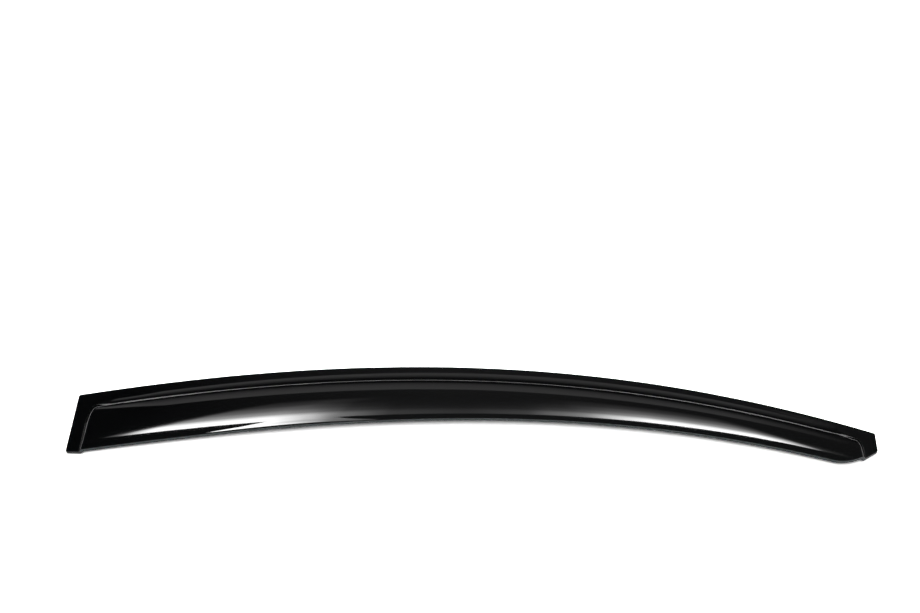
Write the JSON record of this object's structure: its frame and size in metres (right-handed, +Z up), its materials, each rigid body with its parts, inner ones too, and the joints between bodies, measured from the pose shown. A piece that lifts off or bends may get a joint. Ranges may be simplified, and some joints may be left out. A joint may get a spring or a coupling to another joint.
{
  "type": "window rain deflector",
  "caption": "Long bowed strip of smoked acrylic with a bonding flange on three sides and a raised crowned visor that sheds rain over an open car window.",
  "frame": {"origin": "on the surface it lies on, under the middle of its box", "axes": "+X along the window from the tall front end to the slim rear tip, +Y from the free edge to the top edge, +Z up out of the outer face"},
  "size_m": [0.8808, 0.1344, 0.0202],
  "materials": {
    "smoked_acrylic": "polished gloss, frosted on the cut edge"
  },
  "bodies": {
    "root": {"visor": "smoked_acrylic"}
  },
  "joints": []
}
